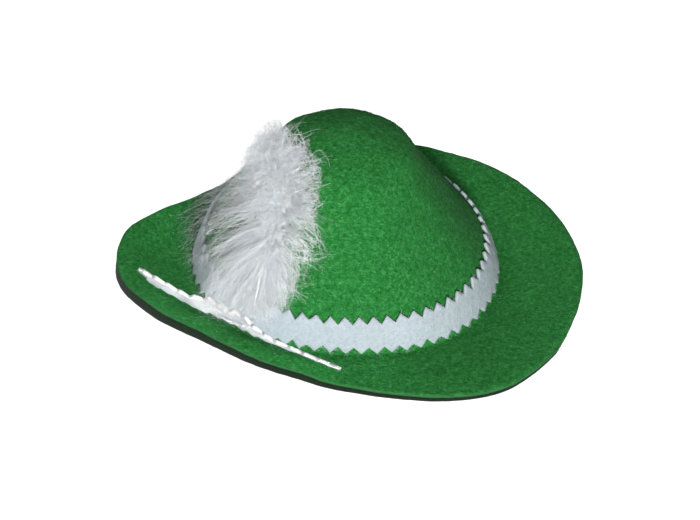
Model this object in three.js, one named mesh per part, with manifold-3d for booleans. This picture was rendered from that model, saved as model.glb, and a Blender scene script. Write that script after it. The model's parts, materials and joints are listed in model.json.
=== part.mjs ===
// Felt tyrolean hat: pressed body, pinked band, stapled bow strip and a down feather.
// Millimetres, +Z up, the hat lies on z = 0 with its long axis on X and the feather side on -Y.
import * as THREE from 'three';
import Module from 'manifold-3d';
import { mergeVertices } from 'three/addons/utils/BufferGeometryUtils.js';

const wasm = await Module();
wasm.setup();

// Hat body
const HAT_HEIGHT = 65.2;
const CROWN_LENGTH = 114.6;
const CROWN_WIDTH = 107;
const BRIM_WIDTH = 33;
const FELT = 1.3;
const CREASE_WIDTH = 1.2;
const SIDE_RISE = 5.1;
const BRIM_LIFT = 10;
const REST_SINK = 0.3;

// Pinked felt trim
const TRIM_WIDTH = 15.4;
const TRIM_FELT = 1.2;
const TOOTH_PITCH = 5.5;
const TOOTH_DEPTH = 2.7;
const BAND_FOOT = 0.8;
const STRIP_LENGTH = 81;
const STRIP_DIRECTION = -120;
const STRIP_SHIFT = -4.8;
const STRIP_FOOT = 1.6;
const GAP = 0.3;
const FACET = 0.18;

// Staple
const STAPLE_SPAN = 12.7;
const WIRE = 0.6;
const STAPLE_PROUD = 1.1;
const STAPLE_TILT = 13.5;
const STAPLE_INSET = 7.2;
const CLINCH = 3.4;
const CLINCH_DIP = 0.7;
const STAPLE_BEND = 0.8;
const STAPLE_SHIFT = -7;

// Feather
const QUILL = 0.9;
const QUILL_LENGTH = 14.3;
const QUILL_DIRECTION = -121;
const QUILL_TOP = 0.46;
const DOWN_ROOM = 1;
const DOWN_STEP = 2;
const PLUME_THICK = 7;
const PLUME_WIDTH = 22;
const LOCK_REACH = 7;
const LOCK_WIDTH = 7;

// Crown profile from foot to top: height share, reach share, shift share
const CROWN = [
  [0, 1, 0],
  [0.12, 0.953, 0],
  [0.22, 0.908, -0.01],
  [0.36, 0.811, -0.033],
  [0.5, 0.713, -0.039],
  [0.64, 0.608, -0.042],
  [0.77, 0.505, -0.041],
  [0.88, 0.425, -0.04],
  [0.955, 0.255, -0.04],
  [1, 0, -0.04],
];

// Brim edge round the hat: direction in degrees, width share, lift share
const BRIM = [
  [-165, 0.858, 0.82],
  [-150, 0.618, 0.77],
  [-135, 0.391, 0.7],
  [-120, 0.31, 0.62],
  [-105, 0.314, 0.58],
  [-90, 0.386, 0.49],
  [-75, 0.515, 0.42],
  [-60, 0.741, 0.4],
  [-45, 0.948, 0.39],
  [-30, 0.995, 0.38],
  [-15, 0.972, 0.38],
  [0, 0.983, 0.4],
  [15, 0.953, 0.43],
  [30, 0.872, 0.49],
  [45, 0.771, 0.59],
  [60, 0.627, 0.7],
  [75, 0.485, 0.78],
  [90, 0.397, 0.85],
  [105, 0.335, 0.9],
  [120, 0.261, 0.9],
  [135, 0.193, 0.86],
  [150, 0.158, 0.81],
  [165, 0.385, 0.89],
  [180, 0.79, 0.94],
];

// Bow strip by run share: inset towards the crown and lift as shares of its width, lean outwards in degrees
const STRIP = [
  [-0.56, -0.1, 0.12, 53],
  [-0.3, -0.03, 0.0, 50],
  [-0.18, 0.02, 0.0, 40],
  [0, 0.02, 0.0, 40],
  [0.08, 0.02, 0.06, 50],
  [0.18, 0.03, 0.13, 57],
  [0.31, 0.16, 0.11, 60],
  [0.44, 0.32, 0.0, 60],
];

// Plume from quill to tip: height share, direction in degrees, width share, thickness share
const PLUME = [
  [0.29, -131, 0.9, 0.2],
  [0.36, -130, 1, 0.4],
  [0.46, -129.5, 1, 0.8],
  [0.57, -128, 1.05, 1],
  [0.69, -127, 1.05, 1],
  [0.79, -128, 1, 0.95],
  [0.86, -134, 0.8, 0.8],
  [0.9, -147, 0.45, 0.55],
];

// Locks of down: start height share, start direction, end height share, end direction, reach share, width share
const LOCKS = [
  [0.38, -124, 0.29, -148, 0.43, 0.86],
  [0.44, -127, 0.32, -157, 0.57, 0.86],
  [0.5, -130, 0.37, -164, 0.71, 1],
  [0.57, -133, 0.44, -169, 0.86, 1],
  [0.64, -136, 0.53, -173, 0.86, 1],
  [0.71, -139, 0.63, -177, 0.86, 1],
  [0.78, -142, 0.73, -180, 1, 1],
  [0.84, -146, 0.81, -186, 1, 1],
  [0.88, -148, 0.91, -182, 1, 0.86],
  [0.84, -136, 0.9, -112, 0.57, 0.86],
  [0.75, -130, 0.83, -107, 0.57, 0.86],
  [0.66, -127, 0.73, -104, 0.57, 0.86],
  [0.56, -124, 0.6, -106, 0.43, 0.86],
  [0.46, -124, 0.48, -110, 0.43, 0.86],
  [0.37, -126, 0.36, -114, 0.43, 0.71],
];

const BODY_COLUMNS = 72;
const RAD = Math.PI / 180;

const smooth = (t) => t * t * (3 - 2 * t);

// Smooth curve through evenly indexed rows, all columns at once
function hermite(a, b, c, d, t) {
  return b.map((v, i) => {
    const m0 = (c[i] - a[i]) / 2;
    const m1 = (d[i] - b[i]) / 2;
    const t2 = t * t;
    const t3 = t2 * t;
    return v * (2 * t3 - 3 * t2 + 1) + c[i] * (3 * t2 - 2 * t3) + m0 * (t3 - 2 * t2 + t) + m1 * (t3 - t2);
  });
}

// Crown profile at index u: the row below the foot runs on straight and the row past the top is mirrored
function profile(u) {
  const last = CROWN.length - 1;
  const row = (i) => {
    if (i < 0) return CROWN[0].map((v, c) => 2 * v - CROWN[1][c]);
    if (i > last) return [CROWN[last - 1][0], -CROWN[last - 1][1], CROWN[last - 1][2]];
    return CROWN[i];
  };
  const i = Math.min(Math.floor(u), last - 1);
  return hermite(row(i - 1), row(i), row(i + 1), row(i + 2), u - i);
}

function indexAtHeight(share) {
  let lo = 0;
  let hi = CROWN.length - 1;
  for (let n = 0; n < 40; n++) {
    const mid = (lo + hi) / 2;
    if (profile(mid)[0] < share) lo = mid;
    else hi = mid;
  }
  return (lo + hi) / 2;
}

const FOOT = FELT - REST_SINK;
const sideRise = (a) => SIDE_RISE * Math.abs(Math.sin(a)) ** 3;

// Outer surface of the crown at profile index u and ellipse angle a
function crownPoint(u, a) {
  const [k, g, s] = profile(u);
  const x = (CROWN_LENGTH / 2) * (g * Math.cos(a) + s);
  const y = (CROWN_WIDTH / 2) * g * Math.sin(a);
  const z = FOOT + (HAT_HEIGHT - FOOT) * k + sideRise(a) * (1 - k) ** 2;
  return new THREE.Vector3(x, y, z);
}

function crownNormal(u, a) {
  const e = 0.002;
  const du = crownPoint(u + e, a).sub(crownPoint(u - e, a));
  const da = crownPoint(u, a + e).sub(crownPoint(u, a - e));
  return da.cross(du).normalize();
}

// Point over the crown wall at a stated height share, direction and standoff
function overWall(share, a, off) {
  const u = indexAtHeight(share);
  return crownPoint(u, a).addScaledVector(crownNormal(u, a), off);
}

// Brim edge by direction
function brimEdge(direction) {
  const step = 360 / BRIM.length;
  const first = BRIM[0][0];
  const f = ((direction - first) / step + 10 * BRIM.length) % BRIM.length;
  const i = Math.floor(f);
  const row = (n) => BRIM[(i + n + BRIM.length) % BRIM.length].slice(1);
  const [width, lift] = hermite(row(-1), row(0), row(1), row(2), f - i);
  const c = Math.cos(direction * RAD);
  const s = Math.sin(direction * RAD);
  const r = 1 / Math.hypot(c / (CROWN_LENGTH / 2), s / (CROWN_WIDTH / 2)) + BRIM_WIDTH * width;
  return new THREE.Vector3(r * c, r * s, BRIM_LIFT * lift);
}

// Outer surface of the brim: v = 0 at the crown's foot, v = 1 at the cut edge
function brimPoint(v, a) {
  const foot = crownPoint(0, a);
  const edge = brimEdge(Math.atan2(foot.y, foot.x) / RAD);
  const p = foot.clone().lerp(edge, v);
  p.z = foot.z + (edge.z - foot.z) * smooth(v);
  return p;
}

// One column of the hat's outer surface from the top to the brim edge
function bodyColumn(a) {
  const column = [];
  const foot = crownPoint(0, a);
  const share = CREASE_WIDTH / (HAT_HEIGHT - FOOT);
  const uWall = indexAtHeight(share);
  const crownRows = 12;
  const last = CROWN.length - 1;
  for (let i = 1; i <= crownRows; i++) column.push(crownPoint(last + ((uWall - last) * i) / crownRows, a));
  const edge = brimPoint(1, a);
  const vStart = CREASE_WIDTH / Math.hypot(edge.x - foot.x, edge.y - foot.y);
  const wall = column[column.length - 1];
  const start = brimPoint(vStart, a);
  const bend = new THREE.QuadraticBezierCurve3(wall, foot, start);
  for (const t of [0.33, 0.67, 1]) column.push(bend.getPoint(t));
  const brimRows = 6;
  for (let i = 1; i <= brimRows; i++) column.push(brimPoint(vStart + (1 - vStart) * (i / brimRows) ** 1.4, a));
  return column;
}

// Closed mesh from indexed triangles
function solid(points, faces) {
  const g = new THREE.BufferGeometry();
  g.setAttribute('position', new THREE.Float32BufferAttribute(points.flatMap((p) => [p.x, p.y, p.z]), 3));
  g.setIndex(faces);
  return g;
}

function volume(g) {
  const p = g.getAttribute('position');
  const idx = g.getIndex().array;
  const v = [0, 1, 2].map(() => new THREE.Vector3());
  let sum = 0;
  for (let i = 0; i < idx.length; i += 3) {
    v.forEach((q, n) => q.fromBufferAttribute(p, idx[i + n]));
    sum += v[0].dot(v[1].clone().cross(v[2])) / 6;
  }
  return sum;
}

// Faces turned outwards
function outward(g) {
  if (volume(g) > 0) return g;
  const idx = g.getIndex().array;
  for (let i = 0; i < idx.length; i += 3) [idx[i], idx[i + 1]] = [idx[i + 1], idx[i]];
  return g;
}

function toManifold(geometry) {
  const bare = new THREE.BufferGeometry();
  bare.setAttribute('position', geometry.getAttribute('position').clone());
  if (geometry.getIndex()) bare.setIndex([...geometry.getIndex().array]);
  const g = outward(mergeVertices(bare, 1e-4));
  const mesh = new wasm.Mesh({
    numProp: 3,
    vertProperties: new Float32Array(g.getAttribute('position').array),
    triVerts: new Uint32Array(g.getIndex().array),
  });
  mesh.merge();
  return new wasm.Manifold(mesh);
}

function fromManifold(m) {
  const mesh = m.getMesh();
  const g = new THREE.BufferGeometry();
  g.setAttribute('position', new THREE.BufferAttribute(new Float32Array(mesh.vertProperties), 3));
  g.setIndex([...mesh.triVerts]);
  return g;
}

// Pressed felt body: outer skin, inner skin one felt thickness behind it, and the cut edge
function feltBody() {
  const n = BODY_COLUMNS;
  const angle = (j) => (2 * Math.PI * j) / n;
  const columns = Array.from({ length: n }, (_, j) => bodyColumn(angle(j)));
  const rows = columns[0].length;
  const at = (i, j) => columns[(j + n) % n][i];
  const top = crownPoint(CROWN.length - 1, 0);
  const points = [];
  const faces = [];
  const under = [];
  points.push(top);
  under.push(top.clone().add(new THREE.Vector3(0, 0, -FELT)));
  for (let i = 0; i < rows; i++) {
    for (let j = 0; j < n; j++) {
      const before = i === 0 ? top : at(i - 1, j);
      const after = i === rows - 1 ? at(i, j) : at(i + 1, j);
      const down = after.clone().sub(before);
      const round = at(i, j + 1).clone().sub(at(i, j - 1));
      const normal = down.cross(round).normalize();
      points.push(at(i, j));
      const q = at(i, j).clone().addScaledVector(normal, -FELT);
      q.z = Math.max(q.z, 0);
      under.push(q);
    }
  }
  const base = points.length;
  const id = (i, j) => 1 + i * n + ((j + n) % n);
  for (let j = 0; j < n; j++) {
    faces.push(0, id(0, j), id(0, j + 1));
    faces.push(base, base + id(0, j + 1), base + id(0, j));
    for (let i = 0; i + 1 < rows; i++) {
      const [a, b, c, d] = [id(i, j), id(i + 1, j), id(i + 1, j + 1), id(i, j + 1)];
      faces.push(a, b, c, a, c, d);
      faces.push(base + a, base + c, base + b, base + a, base + d, base + c);
    }
    const [e, f] = [id(rows - 1, j), id(rows - 1, j + 1)];
    faces.push(e, base + e, base + f, e, base + f, f);
  }
  return solid([...points, ...under], faces);
}

// Slab between an outer and an inner grid of points: closed round, or open with two ends
function slab(outer, inner, closed) {
  const n = outer.length;
  const m = outer[0].length;
  const points = [...outer.flat(), ...inner.flat()];
  const base = n * m;
  const id = (i, j) => (i % n) * m + j;
  const faces = [];
  const spans = closed ? n : n - 1;
  for (let i = 0; i < spans; i++) {
    for (let j = 0; j + 1 < m; j++) {
      const [a, b, c, d] = [id(i, j), id(i + 1, j), id(i + 1, j + 1), id(i, j + 1)];
      faces.push(a, b, c, a, c, d);
      faces.push(base + a, base + c, base + b, base + a, base + d, base + c);
    }
    const [a, b] = [id(i, 0), id(i + 1, 0)];
    faces.push(a, base + b, b, a, base + a, base + b);
    const [c, d] = [id(i, m - 1), id(i + 1, m - 1)];
    faces.push(c, d, base + d, c, base + d, base + c);
  }
  if (!closed) {
    for (let j = 0; j + 1 < m; j++) {
      const [a, b] = [id(0, j), id(0, j + 1)];
      faces.push(a, b, base + b, a, base + b, base + a);
      const [c, d] = [id(n - 1, j), id(n - 1, j + 1)];
      faces.push(c, base + d, d, c, base + c, base + d);
    }
  }
  return outward(solid(points, faces));
}

// Standoff of the band's inner face: the clearance and what the flat facets take of it
const BAND_SEAT = GAP + FACET;

const shareOf = (mm) => mm / (HAT_HEIGHT - FOOT);

// Pinked band round the foot of the crown, teeth above each other on both edges
function hatBand() {
  const fine = 720;
  const ring = Array.from({ length: fine + 1 }, (_, i) => crownPoint(0, (2 * Math.PI * i) / fine));
  const run = [0];
  for (let i = 1; i <= fine; i++) run.push(run[i - 1] + ring[i].distanceTo(ring[i - 1]));
  const teeth = Math.round(run[fine] / TOOTH_PITCH);
  const outer = [];
  const inner = [];
  const slope = crownNormal(0.5, -Math.PI / 2).z;
  const rise = TRIM_WIDTH * Math.sqrt(1 - slope * slope);
  for (let j = 0; j < 2 * teeth; j++) {
    const goal = (run[fine] * j) / (2 * teeth);
    const i = Math.max(1, run.findIndex((r) => r >= goal));
    const a = (2 * Math.PI * (i - 1 + (goal - run[i - 1]) / (run[i] - run[i - 1]))) / fine;
    const cut = j % 2 ? TOOTH_DEPTH : 0;
    const low = BAND_FOOT + cut;
    const high = BAND_FOOT + rise - cut;
    const heights = [0, 0.62, 1].map((t) => shareOf(low + (high - low) * t));
    inner.push(heights.map((h) => overWall(h, a, BAND_SEAT)));
    outer.push(heights.map((h) => overWall(h, a, BAND_SEAT + TRIM_FELT)));
  }
  return slab(outer, inner, true);
}

// Frame of the bow strip: its lower edge where it touches the band, run direction and outward direction
const stripAngle = STRIP_DIRECTION * RAD;
const stripShare = shareOf(STRIP_FOOT);
const stripOut = crownNormal(indexAtHeight(shareOf(STRIP_FOOT + TRIM_WIDTH / 2)), stripAngle);
const stripRun = new THREE.Vector3(0, 0, 1).cross(stripOut).normalize();
const stripUp = stripOut.clone().cross(stripRun).normalize();
const stripLevel = stripRun.clone().cross(new THREE.Vector3(0, 0, 1)).normalize();
const stripFoot = overWall(stripShare, stripAngle, BAND_SEAT + TRIM_FELT + GAP + FACET);
let stripLift = 0;

// Row of the strip table at a distance s along it
function stripRow(s) {
  const run = s / STRIP_LENGTH;
  const last = STRIP.length - 2;
  let i = STRIP.findIndex((r, n) => n > 0 && r[0] >= run) - 1;
  if (i < 0) i = run < 0 ? 0 : last;
  const row = (n) => STRIP[THREE.MathUtils.clamp(n, 0, last + 1)];
  const t = (run - STRIP[i][0]) / (STRIP[i + 1][0] - STRIP[i][0]);
  return row(i).map((v, c) => v + (row(i + 1)[c] - v) * smooth(THREE.MathUtils.clamp(t, 0, 1)));
}

// Strip position: s along it, w up from its lower edge, t out of its inner face
function stripPoint(s, w, t) {
  const [, inset, lift, lean] = stripRow(s);
  const up = stripUp.clone().applyAxisAngle(stripRun, lean * RAD);
  const out = stripOut.clone().applyAxisAngle(stripRun, lean * RAD);
  const p = stripFoot.clone().addScaledVector(stripRun, s);
  p.addScaledVector(stripLevel, -inset * TRIM_WIDTH);
  p.z += stripLift + lift * TRIM_WIDTH;
  return p.addScaledVector(up, w).addScaledVector(out, t);
}

// Top of the brim below a point
function brimTop(p) {
  const a = Math.atan2(p.y / CROWN_WIDTH, p.x / CROWN_LENGTH);
  const foot = crownPoint(0, a);
  const edge = brimEdge(Math.atan2(foot.y, foot.x) / RAD);
  const run = Math.hypot(edge.x, edge.y) - Math.hypot(foot.x, foot.y);
  const v = (Math.hypot(p.x, p.y) - Math.hypot(foot.x, foot.y)) / run;
  return v > 1 ? 0 : brimPoint(Math.max(v, 0), a).z;
}

// The strip is raised where the brim would touch its lower edge
for (let i = 0; i <= 40; i++) {
  const p = stripPoint(STRIP_SHIFT + STRIP_LENGTH * (i / 40 - 0.5), 0, TRIM_FELT);
  stripLift = Math.max(stripLift, brimTop(p) + 2 * GAP - p.z);
}

// Pinked bow strip with a notch in its left end
function bandStrip() {
  const teeth = Math.round(STRIP_LENGTH / TOOTH_PITCH);
  const left = -STRIP_LENGTH / 2 + STRIP_SHIFT;
  const outer = [];
  const inner = [];
  for (let j = 0; j <= 2 * teeth; j++) {
    const s = left + (STRIP_LENGTH * j) / (2 * teeth);
    const cut = j % 2 ? 0 : TOOTH_DEPTH;
    const end = j === 0 || j === 2 * teeth;
    const low = end ? TOOTH_DEPTH / 2 : cut;
    const high = TRIM_WIDTH - low;
    const across = [0, 0.33, 0.5, 0.67, 1].map((w) => low + (high - low) * w);
    const notch = j === 0 ? [0, 0, 0.45 * TOOTH_PITCH, 0, 0] : [0, 0, 0, 0, 0];
    inner.push(across.map((w, i) => stripPoint(s + notch[i], w, 0)));
    outer.push(across.map((w, i) => stripPoint(s + notch[i], w, TRIM_FELT)));
  }
  return slab(outer, inner, false);
}

// Staple: a bar proud of the strip, two legs through strip, band and felt, ends folded in behind
const stapleSeat = stripPoint(STAPLE_SHIFT, STAPLE_INSET, TRIM_FELT);
const stapleOut = stripOut.clone().applyAxisAngle(stripRun, stripRow(STAPLE_SHIFT)[3] * RAD);
const stapleRun = stripRun.clone().applyAxisAngle(stapleOut, STAPLE_TILT * RAD);
const legEnds = [-1, 1].map((side) => {
  const outside = stapleSeat.clone().addScaledVector(stapleRun, (side * (STAPLE_SPAN - WIRE)) / 2);
  return outside.addScaledVector(stapleOut, STAPLE_PROUD);
});

// Depth of the crown's inner face under a point, along the staple's legs
function feltDepth(p) {
  let depth = 0;
  for (let n = 0; n < 60; n++) {
    const q = p.clone().addScaledVector(stripOut, -depth);
    const a = Math.atan2(q.y / CROWN_WIDTH, q.x / CROWN_LENGTH);
    const u = indexAtHeight((q.z - FOOT - sideRise(a)) / (HAT_HEIGHT - FOOT));
    const off = q.clone().sub(crownPoint(u, a)).dot(crownNormal(u, a));
    depth += (off + FELT) * 0.7;
  }
  return depth;
}

function stapleWire() {
  const path = new THREE.CurvePath();
  const depths = legEnds.map((p) => feltDepth(p) + GAP + FACET + WIRE / 2);
  const inward = stripOut.clone().negate();
  const corners = [];
  const wall = legEnds.map((p, i) => p.clone().addScaledVector(inward, depths[i]));
  const fold = (i, other) => {
    const along = wall[other].clone().sub(wall[i]).normalize();
    return wall[i].clone().addScaledVector(along, CLINCH).addScaledVector(inward, CLINCH_DIP);
  };
  corners.push(fold(0, 1), wall[0], legEnds[0], legEnds[1], wall[1], fold(1, 0));
  let from = corners[0];
  for (let i = 1; i < corners.length - 1; i++) {
    const a = corners[i].clone().lerp(corners[i - 1], STAPLE_BEND / corners[i].distanceTo(corners[i - 1]));
    const b = corners[i].clone().lerp(corners[i + 1], STAPLE_BEND / corners[i].distanceTo(corners[i + 1]));
    path.add(new THREE.LineCurve3(from, a));
    path.add(new THREE.QuadraticBezierCurve3(a, corners[i], b));
    from = b;
  }
  path.add(new THREE.LineCurve3(from, corners[corners.length - 1]));
  const round = new THREE.Shape().absarc(0, 0, WIRE / 2, 0, 2 * Math.PI);
  return new THREE.ExtrudeGeometry(round, { steps: 32, curveSegments: 4, extrudePath: path });
}

function legHoles() {
  const holes = legEnds.map((p) => {
    const from = p.clone().addScaledVector(stripOut, WIRE);
    const to = p.clone().addScaledVector(stripOut, -feltDepth(p) - 2 * FELT);
    const hole = new THREE.CylinderGeometry(WIRE / 2 + GAP, WIRE / 2 + GAP, from.distanceTo(to), 12);
    const turn = new THREE.Quaternion().setFromUnitVectors(new THREE.Vector3(0, 1, 0), stripOut);
    hole.applyQuaternion(turn);
    const middle = from.clone().lerp(to, 0.5);
    hole.translate(middle.x, middle.y, middle.z);
    return toManifold(hole);
  });
  return holes[0].add(holes[1]);
}

// Closed loft through rings of points, with a cap at each end
function loft(rings) {
  const n = rings[0].length;
  const points = rings.flat();
  const faces = [];
  for (let i = 0; i + 1 < rings.length; i++) {
    for (let j = 0; j < n; j++) {
      const k = (j + 1) % n;
      const [a, b, c, d] = [i * n + j, i * n + k, (i + 1) * n + k, (i + 1) * n + j];
      faces.push(a, b, c, a, c, d);
    }
  }
  for (const i of [0, rings.length - 1]) {
    const centre = rings[i].reduce((s, p) => s.add(p), new THREE.Vector3()).divideScalar(n);
    points.push(centre);
    const mid = points.length - 1;
    for (let j = 0; j < n; j++) {
      const k = (j + 1) % n;
      if (i === 0) faces.push(mid, i * n + k, i * n + j);
      else faces.push(mid, i * n + j, i * n + k);
    }
  }
  return outward(solid(points, faces));
}

// Height of trim under the down, by height share: the strip and band below, bare felt above
const trimTop = shareOf(BAND_FOOT + TRIM_WIDTH + DOWN_STEP);
function seat(share) {
  const stack = BAND_SEAT + TRIM_FELT + GAP + TRIM_FELT + DOWN_ROOM;
  return GAP + FACET + stack * (1 - smooth(THREE.MathUtils.clamp((share - trimTop) / 0.06, 0, 1)));
}

// Angle step that covers a width in mm at a height share
function spread(share, width) {
  const g = profile(indexAtHeight(share))[1];
  return width / ((g * (CROWN_LENGTH + CROWN_WIDTH)) / 4);
}

function feather() {
  const rings = PLUME.map(([share, direction, wide, thick]) => {
    const half = spread(share, PLUME_WIDTH * wide) / 2;
    const rise = PLUME_THICK * thick;
    const ring = [];
    for (let j = 0; j < 14; j++) {
      const t = (2 * Math.PI * j) / 14;
      const off = seat(share) + rise * 0.5 * (1 + Math.sin(t));
      ring.push(overWall(share, direction * RAD + half * Math.cos(t), off));
    }
    return ring;
  });
  let body = toManifold(loft(rings));
  for (const [h0, d0, h1, d1, reach, wide] of LOCKS) {
    const sections = [0, 0.3, 0.6, 0.85, 1].map((t) => {
      const share = h0 + (h1 - h0) * t;
      const direction = (d0 + (d1 - d0) * t) * RAD;
      const size = ((LOCK_WIDTH * wide) / 2) * (1 - 0.9 * t ** 1.5);
      const lift = seat(share) + size * 0.8 + LOCK_REACH * reach * t;
      const half = spread(share, size);
      const tall = size * 0.7;
      const steep = Math.abs(h1 - h0) * HAT_HEIGHT > (Math.abs(d1 - d0) * RAD * CROWN_LENGTH) / 4;
      const ring = [];
      for (let j = 0; j < 8; j++) {
        const q = (2 * Math.PI * j) / 8;
        const across = size * Math.cos(q);
        const dh = steep ? 0 : shareOf(across * 0.8);
        const da = steep ? half * Math.cos(q) : 0;
        ring.push(overWall(share + dh, direction + da, lift + tall * Math.sin(q)));
      }
      return ring;
    });
    body = body.add(toManifold(loft(sections)));
  }
  const front = BAND_SEAT + TRIM_FELT + GAP + TRIM_FELT + GAP + DOWN_ROOM + QUILL;
  const join = overWall(QUILL_TOP, QUILL_DIRECTION * RAD, seat(QUILL_TOP) + 0.6 * PLUME_THICK);
  const tip = overWall(QUILL_TOP - shareOf(QUILL_LENGTH), QUILL_DIRECTION * RAD, front);
  const line = new THREE.CatmullRomCurve3([tip, tip.clone().lerp(join, 0.5), join]);
  const round = new THREE.Shape().absarc(0, 0, QUILL / 2, 0, 2 * Math.PI);
  const shaft = new THREE.ExtrudeGeometry(round, { steps: 6, curveSegments: 4, extrudePath: line });
  return body.add(toManifold(shaft));
}

const holes = legHoles();
const pieces = [
  ['felt_body', fromManifold(toManifold(feltBody()).subtract(holes)), 0x2e7e3b, 0.95, 0],
  ['hat_band', fromManifold(toManifold(hatBand()).subtract(holes)), 0xc9d6dd, 0.95, 0],
  ['band_strip', fromManifold(toManifold(bandStrip()).subtract(holes)), 0xc9d1d1, 0.95, 0],
  ['staple', fromManifold(toManifold(stapleWire())), 0xb8bcc0, 0.35, 0.9],
  ['feather', fromManifold(feather()), 0xe4e8ea, 0.9, 0],
];

// The origin is the middle of the hat's box, level with the table
const box = new THREE.Box3();
for (const [, geometry] of pieces) {
  geometry.computeBoundingBox();
  box.union(geometry.boundingBox);
}
const middle = box.getCenter(new THREE.Vector3());

const group = new THREE.Group();
group.name = 'tyrolean_hat';
for (const [name, geometry, color, roughness, metalness] of pieces) {
  geometry.translate(-middle.x, -middle.y, -box.min.z);
  const merged = mergeVertices(geometry.toNonIndexed(), 1e-5);
  merged.computeVertexNormals();
  const mesh = new THREE.Mesh(merged, new THREE.MeshStandardMaterial({ color, roughness, metalness }));
  mesh.name = name;
  group.add(mesh);
}

export default group;
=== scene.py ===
import json
import math

import bpy
import numpy as np
from mathutils import Matrix, Vector

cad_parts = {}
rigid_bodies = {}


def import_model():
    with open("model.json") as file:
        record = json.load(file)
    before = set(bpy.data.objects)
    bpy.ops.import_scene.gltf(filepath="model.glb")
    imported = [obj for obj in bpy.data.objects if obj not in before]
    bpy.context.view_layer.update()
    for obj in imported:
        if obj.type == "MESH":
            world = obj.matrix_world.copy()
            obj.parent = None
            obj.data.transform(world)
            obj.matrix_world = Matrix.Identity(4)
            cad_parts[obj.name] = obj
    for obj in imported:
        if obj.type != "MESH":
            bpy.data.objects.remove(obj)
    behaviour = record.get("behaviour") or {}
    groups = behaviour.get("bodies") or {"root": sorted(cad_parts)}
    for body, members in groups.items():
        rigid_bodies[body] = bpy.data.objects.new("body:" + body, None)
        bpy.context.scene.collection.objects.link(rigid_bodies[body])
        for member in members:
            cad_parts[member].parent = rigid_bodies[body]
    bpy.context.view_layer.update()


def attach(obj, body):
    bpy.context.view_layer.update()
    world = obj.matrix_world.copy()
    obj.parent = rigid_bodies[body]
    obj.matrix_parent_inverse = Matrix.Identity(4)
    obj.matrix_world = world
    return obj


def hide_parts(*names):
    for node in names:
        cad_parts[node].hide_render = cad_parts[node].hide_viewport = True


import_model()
rng = np.random.default_rng(11)
MM = 0.001

# The hat's surface, in millimetres
ORIGIN = np.array([2.337, -1.237, 0.0])
HAT_HEIGHT, CROWN_LENGTH, CROWN_WIDTH, BRIM_WIDTH = 65.2, 114.6, 107.0, 33.0
FELT, CREASE, SIDE_RISE, BRIM_LIFT, REST_SINK = 1.3, 1.2, 5.1, 10.0, 0.3
TRIM_WIDTH, TRIM_FELT, TOOTH_PITCH, TOOTH_DEPTH, BAND_FOOT = 15.4, 1.2, 5.5, 2.7, 0.8
STRIP_LENGTH, STRIP_DIRECTION, STRIP_SHIFT, STRIP_FOOT = 81.0, -120.0, -4.8, 1.6
GAP, FACET = 0.3, 0.18
STAPLE_SPAN, WIRE, STAPLE_PROUD, STAPLE_TILT = 12.7, 0.6, 1.1, 13.5
STAPLE_INSET, CLINCH, CLINCH_DIP, STAPLE_BEND, STAPLE_SHIFT = 7.2, 3.4, 0.7, 0.8, -7.0
FOOT = FELT - REST_SINK

# height share, reach share, shift share
CROWN = np.array([
    (0, 1, 0), (0.12, 0.953, 0), (0.22, 0.908, -0.01), (0.36, 0.811, -0.033), (0.5, 0.713, -0.039),
    (0.64, 0.608, -0.042), (0.77, 0.505, -0.041), (0.88, 0.425, -0.04), (0.955, 0.255, -0.04), (1, 0, -0.04),
])
# direction, width share, lift share
BRIM = np.array([
    (-165, 0.858, 0.82), (-150, 0.618, 0.77), (-135, 0.391, 0.7), (-120, 0.31, 0.62), (-105, 0.314, 0.58),
    (-90, 0.386, 0.49), (-75, 0.515, 0.42), (-60, 0.741, 0.4), (-45, 0.948, 0.39), (-30, 0.995, 0.38),
    (-15, 0.972, 0.38), (0, 0.983, 0.4), (15, 0.953, 0.43), (30, 0.872, 0.49), (45, 0.771, 0.59),
    (60, 0.627, 0.7), (75, 0.485, 0.78), (90, 0.397, 0.85), (105, 0.335, 0.9), (120, 0.261, 0.9),
    (135, 0.193, 0.86), (150, 0.158, 0.81), (165, 0.385, 0.89), (180, 0.79, 0.94),
])
# run share, inset share, lift share, lean
STRIP = np.array([
    (-0.56, -0.1, 0.12, 47), (-0.3, -0.03, 0.0, 48), (-0.18, 0.02, 0.0, 40), (0, 0.02, 0.0, 40),
    (0.08, 0.02, 0.06, 50), (0.18, 0.03, 0.13, 57), (0.31, 0.16, 0.11, 60), (0.44, 0.32, 0.0, 60),
])


def smooth(t):
    return t * t * (3 - 2 * t)


def unit(v):
    return v / np.linalg.norm(v, axis=-1, keepdims=True)


def hermite(rows, i, t):
    """Smooth curve through evenly indexed rows; rows has one extra row before and two after."""
    a, b, c, d = rows[i], rows[i + 1], rows[i + 2], rows[i + 3]
    t = t[..., None]
    m0, m1 = (c - a) / 2, (d - b) / 2
    return b * (2 * t**3 - 3 * t**2 + 1) + c * (3 * t**2 - 2 * t**3) + m0 * (t**3 - 2 * t**2 + t) + m1 * (t**3 - t**2)


LAST = len(CROWN) - 1
CROWN_ROWS = np.vstack([2 * CROWN[0] - CROWN[1], CROWN, CROWN[-2] * (1, -1, 1)])


def profile(u):
    u = np.asarray(u, float)
    i = np.clip(np.floor(u).astype(int), 0, LAST - 1)
    return hermite(CROWN_ROWS, i, u - i)


U_FINE = np.linspace(0, LAST, 3601)
K_FINE = profile(U_FINE)[:, 0]


def index_at(share):
    return np.interp(share, K_FINE, U_FINE)


def crown_point(u, a):
    p = profile(u)
    k, g, s = p[..., 0], p[..., 1], p[..., 2]
    rise = SIDE_RISE * np.abs(np.sin(a)) ** 3
    x = CROWN_LENGTH / 2 * (g * np.cos(a) + s)
    y = CROWN_WIDTH / 2 * g * np.sin(a)
    z = FOOT + (HAT_HEIGHT - FOOT) * k + rise * (1 - k) ** 2
    return np.stack([x, y, z], -1)


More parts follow.
